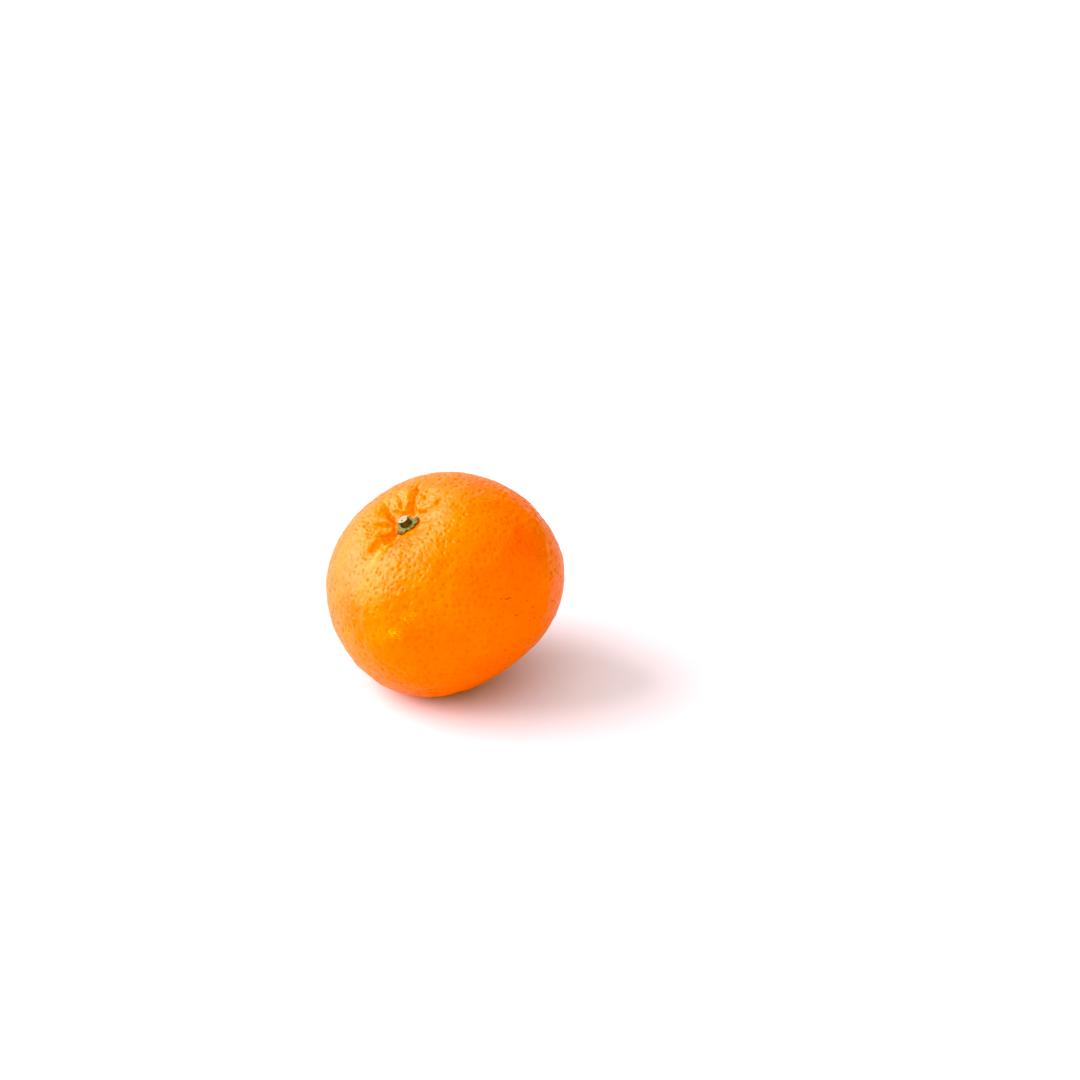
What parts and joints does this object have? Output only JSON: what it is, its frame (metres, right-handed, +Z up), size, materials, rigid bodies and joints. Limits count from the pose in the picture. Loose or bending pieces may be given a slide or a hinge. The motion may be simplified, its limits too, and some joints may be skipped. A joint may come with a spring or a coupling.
{
  "type": "mandarin",
  "caption": "Whole mandarin with a pebbled orange rind, folds running into the hollow at the stem end, a small star calyx and a short cut stem; it rests leaning on a flat spot.",
  "frame": {"origin": "on the resting plane, straight below the middle of the fruit, inside the flat spot it rests on", "axes": "+Z up, out of the surface the fruit rests on; the stem end leans 28.5 degrees from +Z towards -X and -Y, the side it is seen from"},
  "size_m": [0.0661, 0.0652, 0.0563],
  "materials": {
    "rind": "pebbled with oil glands, waxy satin sheen",
    "calyx": "matt, dry, yellow-green with brown lobe ends",
    "stem": "matt, dry bark with a pale cut face"
  },
  "bodies": {
    "root": {"fruit": "rind", "calyx": "calyx", "stem": "stem"}
  },
  "joints": []
}
